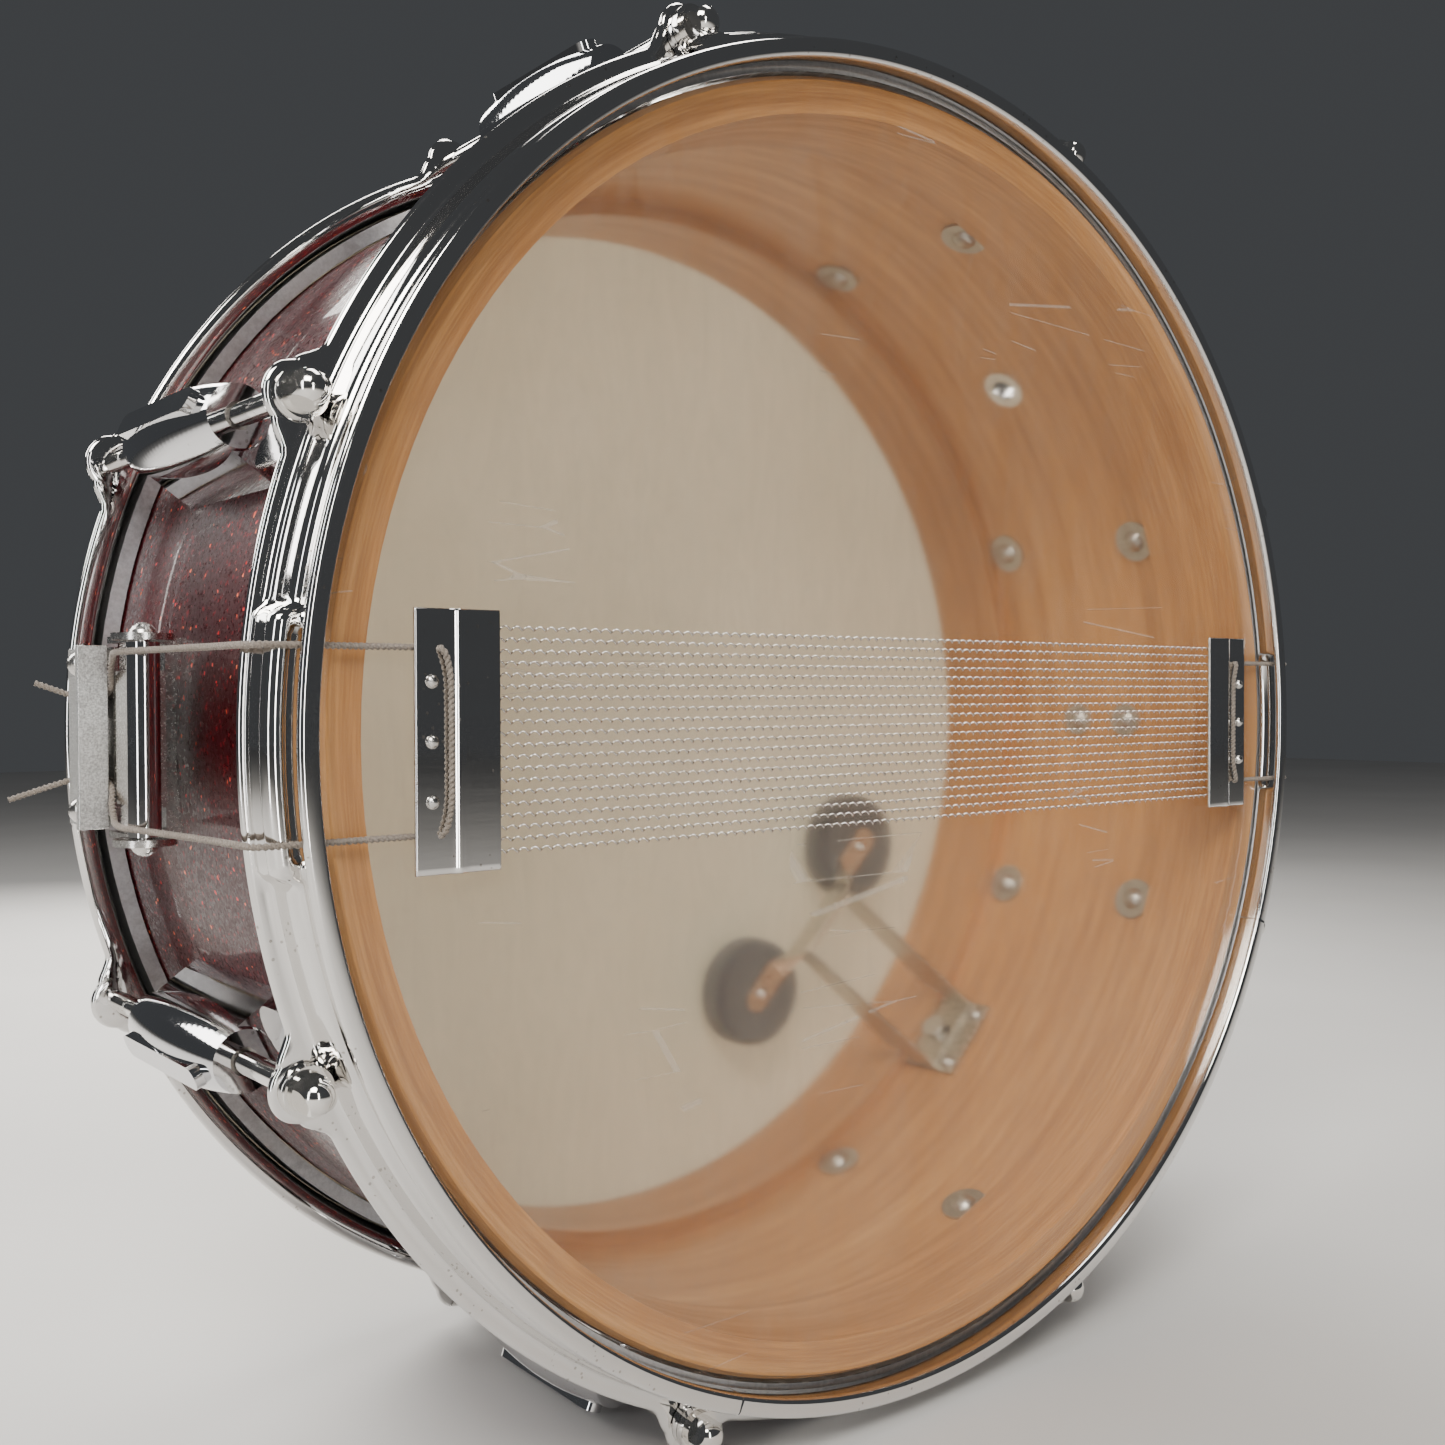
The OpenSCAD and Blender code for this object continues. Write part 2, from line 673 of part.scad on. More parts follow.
// Half routes of the cords, from the middle of the loop on the plate to the clamp.
// The strainer's cord stops just past the barrel, where the arm's own ends begin.
function plate_half(x, s) = [
    [x + s * 2.2, 2.6, 0], [x + s * 2.2, 2.6, 7], [x + s * 2, 2.6, 14], [x + s * 0.9, 2.5, 18.6],
    [x, 3, 20.1], [x, 4.3, cord_z], [x - s * 1.2, 5.35, cord_z], [x - s * 6, 5.4, cord_z],
    [x - s * 15, 5.2, cord_z]];
strainer_half = concat(plate_half(hole_x[0], 1), [
    [-174, 4.7, cord_z], [-181, 4.4, cord_z], [-187, cord_gate_y, cord_z], [-190.4, 5, cord_z],
    [-192.1, 7, cord_z], [-cord_saddle_r, 9, cord_z], [-cord_saddle_r - 0.2, 13, cord_z],
    [-193.4, 28, cord_z], [-195.2, 48, cord_z], [-197.1, 66, cord_z], [-197.2, 69, cord_z],
    [-196.9, 73, cord_z]]);
butt_half = concat(plate_half(hole_x[1], -1), [
    [175, 4.7, cord_z], [181, 4.4, cord_z], [187, cord_gate_y, cord_z], [190.4, 5, cord_z],
    [192.1, 7, cord_z], [cord_saddle_r, 9, cord_z], [cord_saddle_r, 13, cord_z],
    [192.1, 30, cord_z], [191.6, 50, cord_z], [191.4, 62, cord_z], [191.4, 84, cord_z]]);
upper_end = [
    [-196.4, 76, 20.2], [-195.6, 80, 20], [-194.4, 84.5, 18.8], [-193.7, 88.2, 15.8],
    [-192.4, 91.6, 12.5], [-192.4, 95, 10.6], [-192.4, 106, 9], [-193.2, 110, 9.2],
    [-196.4, 114, 10.6], [-203, 118, 13.4]];
lower_end = [
    [-196.4, 76, -20.2], [-195.6, 80, -20], [-194.4, 84.5, -18.8], [-193.7, 88.2, -15.8],
    [-192.4, 91.6, -12.8], [-192.4, 95, -11.2], [-192.4, 106, -10], [-193.4, 110, -10.2],
    [-198.4, 114.6, -12], [-209, 120, -16]];

function looped(half) = let (s = smooth(half, 2)) concat(mirrored([for (i = [1:len(s) - 1]) s[i]]), s);

module strainer_cord() {
    color("gray") tube(looped(strainer_half), cord_d / 2);
}

module strainer_cord_ends() {
    color("gray") {
        tube(smooth(upper_end), cord_d / 2);
        tube(smooth(lower_end), cord_d / 2);
    }
}

module butt_cord() {
    color("gray") tube(looped(butt_half), cord_d / 2);
}

// ---------- muffler ----------

module muffler_base() {
    color("silver") around(muffler_angle) difference() {
        block(muffler_base_x, [92, 115.3], [-15.5, 15.5]);
        translate([0, muffler_shaft_y, 0]) bar_x(2.6, 160, 180);
        for (s = [-1, 1]) translate([0, 96.5, s * 11]) bar_x(1.47, 160, 180);
    }
}

// A strap bent into a stirrup: slotted back, two flanks and an inner web
module stirrup_flank(z0) {
    translate([0, 0, z0]) linear_extrude(strap_t) polygon([
        [stirrup_back_x, 100], [stirrup_back_x, 111.5], [165.5, 111.5], [160, 119],
        [muffler_in, pad_y - 1], [muffler_in, pad_y - 10]]);
}

module muffler_stirrup() {
    w = stirrup_w / 2;
    color("silver") around(muffler_angle) difference() {
        union() {
            stirrup_flank(-w);
            stirrup_flank(w - strap_t);
            block([stirrup_back_x - strap_t, stirrup_back_x], [100, 111.5], [-w, w]);
            block([muffler_in, muffler_in + strap_t], [pad_y - 10, pad_y - 1], [-w, w]);
        }
        stadium_x([stirrup_back_x - 3, stirrup_back_x + 1],
            [muffler_shaft_y - 6.8, muffler_shaft_y + 2.9], 5.6);
    }
}

// Each end of the bar is twisted a quarter turn into a flat paddle under its pad
module muffler_spring_bar() {
    color("silver") around(muffler_angle) {
        block([muffler_in - 1.02, muffler_in - 0.02], [pad_y - 9, pad_y - 1], [-17, 17]);
        for (s = [-1, 1]) mirror([0, 0, s < 0 ? 1 : 0]) {
            hull() {
                block([muffler_in - 1.02, muffler_in - 0.02], [pad_y - 9, pad_y - 1], [16.9, 17]);
                block([muffler_in - 5, muffler_in + 4], [paddle_y - 0.02, pad_y - 0.02], [25, 25.1]);
            }
            block([muffler_in - 5, muffler_in + 4], [paddle_y - 0.02, pad_y - 0.02], [25, pad_z + 3]);
            translate([muffler_in - 0.5, 0, pad_z + 3]) bar_y(4.5, paddle_y - 0.02, pad_y - 0.02);
        }
    }
}

module muffler_pads() {
    color("dimgray") around(muffler_angle) for (s = [-1, 1])
        translate([muffler_in, 0, s * pad_z]) bar_y(pad_d / 2, pad_y, pad_y + pad_t, 64);
}

module muffler_pad_rivets() {
    color("silver") around(muffler_angle) for (s = [-1, 1])
        translate([muffler_in, paddle_y - 0.05, s * pad_z]) rotate([0, 0, -90]) dome_x(2.4, 1.4);
}

module muffler_knob() {
    color("silver") around(muffler_angle) translate([0, muffler_shaft_y, 0]) {
        bar_x(2.5, 165.4, 182);
        bar_x(4.4, 165.4, stirrup_back_x - strap_t - 0.3);
        difference() {
            bar_x(muffler_knob_d / 2, wrap_r + 0.5, wrap_r + 10.5);
            for (k = [0:23]) rotate([k * 15, 0, 0]) translate([0, muffler_knob_d / 2 + 0.3, 0])
                bar_x(0.9, wrap_r + 1.6, wrap_r + 12, 16);
        }
    }
}

// ---------- assembly ----------

shell();
reinforcement_rings();
shell_wrap();
vent_grommet();
snare_hoop();
batter_hoop();
snare_head();
snare_flesh_hoop();
batter_head();
batter_flesh_hoop();
for (i = [1:8]) at_lug(i) lug();
swivel_nuts();
lug_screws();
rod_washers();
for (i = [1:8]) snare_rod(i);
for (i = [1:8]) batter_rod(i);
strainer_base();
strainer_pivot_screws();
strainer_barrel();
strainer_arm();
cord_clamp_block();
cord_clamp_bar();
cord_clamp_screws();
snare_tension_knob();
butt_plate();
butt_clamp_bar();
bracket_screws();
snare_end_plates();
snare_strands();
end_plate_rivets();
strainer_cord();
strainer_cord_ends();
butt_cord();
muffler_base();
muffler_stirrup();
muffler_spring_bar();
muffler_pads();
muffler_pad_rivets();
muffler_knob();
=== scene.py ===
"""Looks for the snare drum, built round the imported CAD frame. Metres, in the frame of the CAD.

The drum's axis is Y and its snare-side rim lies at Y 0. Outlines and routes are in millimetres.
"""

import math

import bmesh
import bpy
import numpy as np
from mathutils import Matrix, Vector


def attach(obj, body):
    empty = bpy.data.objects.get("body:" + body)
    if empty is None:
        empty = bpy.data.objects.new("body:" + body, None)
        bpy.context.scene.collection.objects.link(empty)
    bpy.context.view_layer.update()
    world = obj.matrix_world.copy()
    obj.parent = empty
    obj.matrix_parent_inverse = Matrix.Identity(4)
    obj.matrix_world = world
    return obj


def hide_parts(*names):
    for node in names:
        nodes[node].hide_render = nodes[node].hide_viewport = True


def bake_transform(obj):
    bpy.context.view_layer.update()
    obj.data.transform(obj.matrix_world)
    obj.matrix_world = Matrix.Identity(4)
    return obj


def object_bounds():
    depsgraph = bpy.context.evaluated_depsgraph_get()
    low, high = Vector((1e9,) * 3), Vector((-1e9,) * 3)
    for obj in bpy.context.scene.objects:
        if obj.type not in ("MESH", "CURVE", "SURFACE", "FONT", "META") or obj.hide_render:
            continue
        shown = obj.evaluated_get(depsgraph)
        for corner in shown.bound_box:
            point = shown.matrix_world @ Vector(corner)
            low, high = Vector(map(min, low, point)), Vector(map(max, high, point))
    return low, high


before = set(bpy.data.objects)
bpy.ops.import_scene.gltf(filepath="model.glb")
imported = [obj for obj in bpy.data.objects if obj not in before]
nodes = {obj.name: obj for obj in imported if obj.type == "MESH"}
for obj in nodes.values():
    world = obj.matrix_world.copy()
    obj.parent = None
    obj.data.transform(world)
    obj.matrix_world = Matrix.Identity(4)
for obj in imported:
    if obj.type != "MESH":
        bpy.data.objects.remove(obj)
cad_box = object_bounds()
scene = bpy.context.scene
MM = 0.001

# ---------- camera ----------

CAM_POS = Vector((-0.3095, -0.2857, 0.0051))
CAM_YAW, CAM_PITCH, CAM_ROLL = 39.34, -0.49, 0.53
CAM_LEAN = 0.9  # turns the whole view about the drum's axis
CAM_LENS, CAM_SENSOR, CAM_NEAR = 37.45, 36, 0.01

cam_data = bpy.data.cameras.new("camera")
cam_data.lens = CAM_LENS
cam_data.sensor_width = CAM_SENSOR
cam_data.clip_start = CAM_NEAR
cam = bpy.data.objects.new("camera", cam_data)
scene.collection.objects.link(cam)
scene.camera = cam
yaw, pitch = math.radians(CAM_YAW), math.radians(CAM_PITCH)
look = Vector((math.sin(yaw) * math.cos(pitch), math.cos(yaw) * math.cos(pitch), math.sin(pitch)))
cam.matrix_world = (
    Matrix.Rotation(math.radians(CAM_LEAN), 4, "Y")
    @ Matrix.Translation(CAM_POS)
    @ look.to_track_quat("-Z", "Y").to_matrix().to_4x4()
    @ Matrix.Rotation(math.radians(CAM_ROLL), 4, "Z")
)

# ---------- node helpers ----------


class Shader:
    """One procedural material: its node tree and its Principled shader."""

    def __init__(self, name, **inputs):
        self.mat = bpy.data.materials.new(name)
        self.mat.use_nodes = True
        self.tree = self.mat.node_tree
        self.bsdf = next(n for n in self.tree.nodes if n.type == "BSDF_PRINCIPLED")
        self.out = next(n for n in self.tree.nodes if n.type == "OUTPUT_MATERIAL")
        for key, value in inputs.items():
            self.bsdf.inputs[key.replace("_", " ")].default_value = value
        self.coord = self.tree.nodes.new("ShaderNodeTexCoord").outputs["Object"]

    def put(self, source, target):
        """Links an output to the target, or gives the target a plain value."""
        if hasattr(source, "is_output"):
            self.tree.links.new(source, target)
        elif source is not None:
            target.default_value = source

    def set(self, key, source):
        self.put(source, self.bsdf.inputs[key])

    def math(self, kind, a, b=None):
        n = self.tree.nodes.new("ShaderNodeMath")
        n.operation = kind
        for socket, value in zip(n.inputs, (a, b)):
            self.put(value, socket)
        return n.outputs[0]

    def mapped(self, scale):
        n = self.tree.nodes.new("ShaderNodeMapping")
        self.put(self.coord, n.inputs["Vector"])
        n.inputs["Scale"].default_value = scale
        return n.outputs[0]

    def split(self, vector=None):
        n = self.tree.nodes.new("ShaderNodeSeparateXYZ")
        self.put(vector or self.coord, n.inputs[0])
        return n.outputs

    def noise(self, vector, scale, detail, rough=0.55, w=None, distortion=0.0):
        n = self.tree.nodes.new("ShaderNodeTexNoise")
        if w is not None:
            n.noise_dimensions = "4D"
            self.put(w, n.inputs["W"])
        self.put(vector, n.inputs["Vector"])
        n.inputs["Scale"].default_value = scale
        n.inputs["Detail"].default_value = detail
        n.inputs["Roughness"].default_value = rough
        n.inputs["Distortion"].default_value = distortion
        return n.outputs["Fac"]

    def voronoi(self, scale, vector=None, feature="F1"):
        n = self.tree.nodes.new("ShaderNodeTexVoronoi")
        n.feature = feature
        self.put(vector or self.coord, n.inputs["Vector"])
        n.inputs["Scale"].default_value = scale
        return n.outputs

    def ramp(self, fac, *stops):
        n = self.tree.nodes.new("ShaderNodeValToRGB")
        self.put(fac, n.inputs[0])
        while len(n.color_ramp.elements) < len(stops):
            n.color_ramp.elements.new(0.5)
        for element, (at, colour) in zip(n.color_ramp.elements, stops):
            element.position = at
            element.color = (*colour, 1)
        return n.outputs[0]

    def span(self, value, low, high, to_low=0.0, to_high=1.0):
        n = self.tree.nodes.new("ShaderNodeMapRange")
        self.put(value, n.inputs["Value"])
        limits = {"From Min": low, "From Max": high, "To Min": to_low, "To Max": to_high}
        for key, x in limits.items():
            n.inputs[key].default_value = x
        return n.outputs[0]

    def mix(self, fac, a, b, blend="MIX"):
        n = self.tree.nodes.new("ShaderNodeMix")
        n.data_type, n.blend_type = "RGBA", blend
        self.put(fac, n.inputs[0])
        for value, socket in ((a, n.inputs[6]), (b, n.inputs[7])):
            self.put((*value, 1) if isinstance(value, tuple) else value, socket)
        return n.outputs[2]

    def bump(self, height, strength, distance):
        n = self.tree.nodes.new("ShaderNodeBump")
        self.put(height, n.inputs["Height"])
        n.inputs["Strength"].default_value = strength
        n.inputs["Distance"].default_value = distance
        self.set("Normal", n.outputs[0])

    def lobe(self, kind, colour):
        """A plain shader of one colour, to join with the Principled one."""
        n = self.tree.nodes.new(kind)
        self.put(colour, n.inputs["Color"])
        return n.outputs[0]

    def join(self, fac, a, b):
        """Two shaders mixed: a where fac is 0, b where it is 1."""
        n = self.tree.nodes.new("ShaderNodeMixShader")
        for socket, value in zip(n.inputs, (fac, a, b)):
            self.put(value, socket)
        return n.outputs[0]

    def surface(self, shader):
        self.put(shader, self.out.inputs["Surface"])


# ---------- materials ----------

WOOD_PORES = (0.45, 0.30, 0.16)
PIT_COLOUR = (0.20, 0.16, 0.12)
DULL_PATCH = (0.30, 0.27, 0.23)
FLAKE_ABOVE, PAINTED_GLINT_ABOVE = 0.93, 0.991  # of the wrap's cells, 7 % are flakes and 0.9 % are flakes painted bright as glints
FILM_TINT = (0.93, 0.91, 0.87, 1)
FILM_VEIL = (0.86, 0.83, 0.78, 1)


def wood(name, light, dark, patch):
    """Lacquered maple with its grain round the drum: fine across its width and its wall."""
    s = Shader(name, Coat_Weight=0.35, Coat_Roughness=0.16)
    x, _, z = s.split()
    radius = s.math("SQRT", s.math("ADD", s.math("MULTIPLY", x, x), s.math("MULTIPLY", z, z)))

    def streaks(round_scale, width_scale, wall_scale, detail, rough, distortion=0.0):
        place = s.mapped((round_scale, width_scale, round_scale))
        depth = s.math("MULTIPLY", radius, wall_scale)
        return s.noise(place, 1.0, detail, rough, depth, distortion)

    grain = streaks(9, 260, 330, 7, 0.62, 0.25)
    broad = streaks(6, 30, 60, 3, 0.5)
    fine = streaks(60, 1500, 1800, 3, 0.6)
    middle = tuple((a + b) / 2 for a, b in zip(light, dark))
    colour = s.ramp(grain, (0.28, dark), (0.5, middle), (0.72, light))
    colour = s.mix(s.span(broad, 0.35, 0.75, 0.0, 0.55), colour, patch, "MULTIPLY")
    colour = s.mix(s.span(fine, 0.42, 0.62, 0.35, 0.0), colour, WOOD_PORES, "MULTIPLY")
    s.set("Base Color", colour)
    s.set("Roughness", s.span(grain, 0.2, 0.8, 0.42, 0.28))
    s.bump(s.math("ADD", grain, s.math("MULTIPLY", fine, 0.5)), 0.25, 0.0002)
    return s.mat


def chrome(name, tint, rough, pits, streak=(40, 40, 40), bump=0.06):
    """Polished plating with wiping marks, slight waviness and, where it is worn, fine pits."""
    s = Shader(name, Metallic=1.0, IOR=1.5)
    wave = s.noise(s.mapped(streak), 1.0, 5, 0.6)
    micro = s.noise(s.coord, 900, 3, 0.6)
    worn = s.math("GREATER_THAN", s.noise(s.coord, 60, 2), 0.53)
    pit = s.math("MULTIPLY", s.math("LESS_THAN", s.voronoi(420)["Distance"], 0.16), worn)
    pit_depth = s.math("MULTIPLY", pit, 0.3 * pits)
    colour = s.mix(s.span(wave, 0.35, 0.75, 0.0, 0.25), tint, tuple(c * 0.80 for c in tint))
    if pits:
        colour = s.mix(s.math("MULTIPLY", pit, pits), colour, PIT_COLOUR)
    s.set("Base Color", colour)
    haze = s.span(s.math("MULTIPLY", wave, micro), 0.15, 0.45, *rough)
    s.set("Roughness", s.math("ADD", haze, pit_depth))
    relief = s.math("ADD", wave, s.math("MULTIPLY", micro, 0.10))
    s.bump(s.math("SUBTRACT", relief, pit_depth), bump, 0.0002)
    return s.mat


def steel(name, tint, rough, grain_scale, grain):
    """Plain or blasted metal with a fine grain in colour, gloss and height."""
    s = Shader(name, Metallic=1.0)
    fine = s.noise(s.coord, grain_scale, 3, 0.7)
    soft = s.noise(s.coord, 55, 3)
    darker = tuple(c * (1 - grain) for c in tint)
    lighter = tuple(min(1, c * (1 + grain)) for c in tint)
    colour = s.mix(s.span(fine, 0.35, 0.65), darker, lighter)
    colour = s.mix(s.span(soft, 0.4, 0.7, 0, 0.25), colour, DULL_PATCH)
    s.set("Base Color", colour)
    s.set("Roughness", s.span(fine, 0.3, 0.7, rough * 0.8, min(1, rough * 1.25)))
    s.bump(fine, grain, 0.00012)
    return s.mat


def sparkle():
    """Burgundy wrap: small metal flakes at many angles under a deep gloss, a few of them painted
    bright red as glints.
    """
    s = Shader("sparkle_wrap", Coat_Weight=0.3, Coat_Roughness=0.03, Coat_IOR=1.4,
               Specular_IOR_Level=0.2)
    tone = s.split(s.voronoi(1250)["Color"])
    deep = s.noise(s.coord, 14, 3)
    ground = s.ramp(deep, (0.3, (0.022, 0.0004, 0.0014)), (0.7, (0.050, 0.0010, 0.0032)))
    # painted glints: a few flakes get a bright red that stands for light caught on them
    glint_colour = s.ramp(tone[1], (0.3, (0.85, 0.04, 0.04)), (0.7, (0.95, 0.20, 0.08)))
    is_flake = s.math("GREATER_THAN", tone[0], FLAKE_ABOVE)
    is_painted_glint = s.math("GREATER_THAN", tone[0], PAINTED_GLINT_ABOVE)
    colour = s.mix(s.math("MULTIPLY", is_flake, 0.75), ground, (0.22, 0.006, 0.012))
    # the painted glint colour goes on its flakes here
    s.set("Base Color", s.mix(is_painted_glint, colour, glint_colour))
    s.set("Metallic", s.math("MULTIPLY", is_flake, 0.3))
    s.set("Roughness", s.span(tone[2], 0, 1, 0.22, 0.5))
    s.bump(tone[1], 0.25, 0.0001)
    return s.mat


def film():
    """A clear, slightly hazy film: rough refraction blurs what lies behind, a thin veil whitens it.

    Shadow and diffuse rays pass straight through, so light reaches the inside of the drum.
    """
    s = Shader("clear_film", Transmission_Weight=1.0, IOR=1.12, Coat_Weight=0.35,
               Coat_Roughness=0.09, Coat_IOR=1.45, Base_Color=FILM_TINT)
    cloud = s.noise(s.coord, 9, 4)
    smear = s.noise(s.mapped((30, 30, 8)), 3.0, 5, 0.7, distortion=1.5)
    scratch = s.voronoi(26, s.mapped((0.25, 1, 3.1)), "DISTANCE_TO_EDGE")["Distance"]
    line = s.math("MULTIPLY", s.math("LESS_THAN", scratch, 0.006),
                  s.math("GREATER_THAN", s.noise(s.coord, 21, 2), 0.62))
    s.set("Roughness", s.span(cloud, 0.3, 0.7, 0.10, 0.15))
    milky = s.join(0.5, s.lobe("ShaderNodeBsdfDiffuse", FILM_VEIL),
                   s.lobe("ShaderNodeBsdfTranslucent", FILM_VEIL))
    amount = s.math("ADD", s.span(smear, 0.4, 0.75, 0.035, 0.07), s.math("MULTIPLY", line, 0.22))
    body = s.join(amount, s.bsdf.outputs[0], milky)
    rays = s.tree.nodes.new("ShaderNodeLightPath").outputs
    passing = s.math("MAXIMUM", rays["Is Shadow Ray"], rays["Is Diffuse Ray"])
    s.surface(s.join(passing, body, s.lobe("ShaderNodeBsdfTransparent", FILM_TINT)))
    return s.mat


def coated():
    """The batter head: a sprayed cream coating that lets some light through."""
    s = Shader("coated_film", Roughness=0.62)
    cloud = s.noise(s.coord, 7, 4)
    speck = s.noise(s.coord, 420, 3)
    colour = s.ramp(cloud, (0.25, (0.76, 0.72, 0.61)), (0.75, (0.86, 0.82, 0.72)))
    colour = s.mix(s.span(speck, 0.5, 0.8, 0, 0.18), colour, (0.52, 0.49, 0.42))
    s.set("Base Color", colour)
    s.bump(speck, 0.3, 0.0001)
    s.surface(s.join(0.42, s.bsdf.outputs[0], s.lobe("ShaderNodeBsdfTranslucent", colour)))
    return s.mat


def felt():
    s = Shader("grey_felt", Roughness=0.95, Sheen_Weight=0.5, Sheen_Roughness=0.5)
    fibres = s.noise(s.coord, 1100, 5, 0.8, distortion=1.2)
    lumps = s.noise(s.coord, 130, 3)
    colour = s.ramp(fibres, (0.3, (0.035, 0.035, 0.040)), (0.7, (0.115, 0.11, 0.115)))
    s.set("Base Color", colour)
    s.bump(s.math("ADD", fibres, lumps), 0.8, 0.0006)
    return s.mat


def cord_material():
    s = Shader("braided_cord", Roughness=0.7, Sheen_Weight=0.3)
    fibres = s.noise(s.coord, 2600, 4, 0.7)
    patch = s.noise(s.coord, 90, 2)
    colour = s.ramp(fibres, (0.3, (0.08, 0.06, 0.045)), (0.7, (0.36, 0.31, 0.26)))
    s.set("Base Color", s.mix(s.span(patch, 0.4, 0.7, 0, 0.5), colour, (0.16, 0.13, 0.10)))
    s.bump(fibres, 0.6, 0.0002)
    return s.mat


def paint(node_names, *materials):
    for name in node_names:
        slots = nodes[name].data.materials
        slots.clear()
        for m in materials:
            slots.append(m)


maple = wood("maple_shell", (0.80, 0.44, 0.17), (0.50, 0.235, 0.075), (0.86, 0.70, 0.50))
maple_ring = wood("maple_rings", (0.74, 0.385, 0.14), (0.44, 0.20, 0.06), (0.80, 0.62, 0.42))
hoop_chrome = chrome("chrome_hoops", (0.80, 0.785, 0.765), (0.035, 0.10), 0.5, (14, 160, 14), 0.05)
lug_chrome = chrome("chrome_lugs", (0.74, 0.74, 0.75), (0.03, 0.09), 0.25, (60, 25, 60), 0.05)
rod_chrome = chrome("chrome_rods", (0.82, 0.80, 0.765), (0.05, 0.16), 0.35, (150, 150, 150), 0.05)
trim_chrome = chrome("chrome_trim", (0.80, 0.79, 0.78), (0.03, 0.10), 0.3, (90, 90, 90), 0.04)
plate_chrome = chrome("chrome_plate", (0.78, 0.765, 0.745), (0.03, 0.10), 0.5, (25, 25, 260), 0.04)
# lighter, glossier metal for rounded edges: a polished edge finish, its lighter tint also a painted
# edge highlight
edge_highlight_metal = chrome("edge_highlight_metal", (0.86, 0.85, 0.83), (0.08, 0.16), 0.0)
dull_steel = steel("plain_steel", (0.52, 0.50, 0.47), 0.33, 900, 0.15)
strainer_steel = steel("strainer_steel", (0.66, 0.645, 0.62), 0.24, 1300, 0.12)
blasted = steel("blasted_steel", (0.58, 0.58, 0.57), 0.52, 2300, 0.40)
wire = steel("snare_wire", (0.74, 0.73, 0.71), 0.17, 1500, 0.10)
strap = steel("muffler_strap", (0.62, 0.575, 0.49), 0.30, 700, 0.14)
flesh = steel("aluminium_hoops", (0.55, 0.55, 0.56), 0.35, 800, 0.12)
wrap = sparkle()
clear_film = film()
coated_film = coated()
grey_felt = felt()
braided = cord_material()

paint(["shell"], maple)
paint(["reinforcement_rings"], maple_ring)
paint(["shell_wrap"], wrap)
paint(["snare_hoop", "batter_hoop"], hoop_chrome)
paint([f"lug_{i}" for i in range(1, 9)], lug_chrome)
paint([f"{side}_rod_{i}" for side in ("snare", "batter") for i in range(1, 9)], rod_chrome)
paint(["vent_grommet", "rod_washers", "strainer_barrel", "butt_plate", "muffler_knob"], trim_chrome)
paint(["snare_end_plates"], plate_chrome)
paint(["swivel_nuts", "lug_screws", "bracket_screws"], dull_steel)
paint(["end_plate_rivets", "muffler_pad_rivets", "strainer_base", "strainer_pivot_screws",
       "strainer_arm", "cord_clamp_bar", "cord_clamp_screws", "snare_tension_knob",
       "butt_clamp_bar"], strainer_steel)
# the clamp block's rounded edges take the lighter metal, partly a polished finish and partly a
# painted highlight
paint(["cord_clamp_block"], blasted, edge_highlight_metal)
paint(["muffler_base", "muffler_stirrup", "muffler_spring_bar"], strap)
paint(["snare_flesh_hoop", "batter_flesh_hoop"], flesh)
paint(["snare_head"], clear_film)
paint(["batter_head"], coated_film)
paint(["muffler_pads"], grey_felt)
paint(["strainer_cord", "strainer_cord_ends", "butt_cord", "snare_strands"], braided)


# ---------- edges of the CAD parts ----------

WELD_GAP = 2e-6
FLAT_ANGLE, EDGE_ANGLE = 0.6, 32
OWN_MATERIAL, SECOND_MATERIAL = -1, 1


def soften(name, width, material=OWN_MATERIAL):
    """Rounds a CAD part's sharp edges with modifiers, so they catch the light."""
    o = nodes[name]
    weld = o.modifiers.new("weld", "WELD")
    weld.merge_threshold = WELD_GAP
    flat = o.modifiers.new("flat", "DECIMATE")
    flat.decimate_type = "DISSOLVE"
    flat.angle_limit = math.radians(FLAT_ANGLE)
    bevel = o.modifiers.new("bevel", "BEVEL")
    bevel.limit_method = "ANGLE"
    bevel.angle_limit = math.radians(EDGE_ANGLE)
    bevel.width = width
    bevel.segments = 2
    bevel.use_clamp_overlap = True
    bevel.miter_outer = "MITER_ARC"
    bevel.material = material
    for p in o.data.polygons:
        p.use_smooth = True
    normal = o.modifiers.new("normal", "WEIGHTED_NORMAL")
    normal.keep_sharp = False
    normal.weight = 80


for strap_part in ("muffler_base", "muffler_stirrup"):
    soften(strap_part, 0.0002)
# the block's rounded edges get its second material, the lighter metal that is partly a painted
# highlight
soften("cord_clamp_block", 0.0009, SECOND_MATERIAL)


# ---------- mesh helpers ----------


def mesh_object(name, verts, faces, material, smooth=True):
    mesh = bpy.data.meshes.new(name)
    mesh.from_pydata([tuple(v) for v in verts], [], [tuple(f) for f in faces])
    mesh.update()
    mesh.materials.append(material)
    if smooth:
        mesh.shade_smooth()
    o = bpy.data.objects.new(name, mesh)
    scene.collection.objects.link(o)
    return o


def tube_faces(rings, corners):
    """Quads from every ring of corners to the next, and a cap on both ends."""
    faces = []
    for j in range(rings - 1):
        this, after = j * corners, (j + 1) * corners
        for i in range(corners):
            k = (i + 1) % corners
            faces.append((this + i, this + k, after + k, after + i))
    faces.append(tuple(reversed(range(corners))))
    faces.append(tuple((rings - 1) * corners + i for i in range(corners)))
    return faces


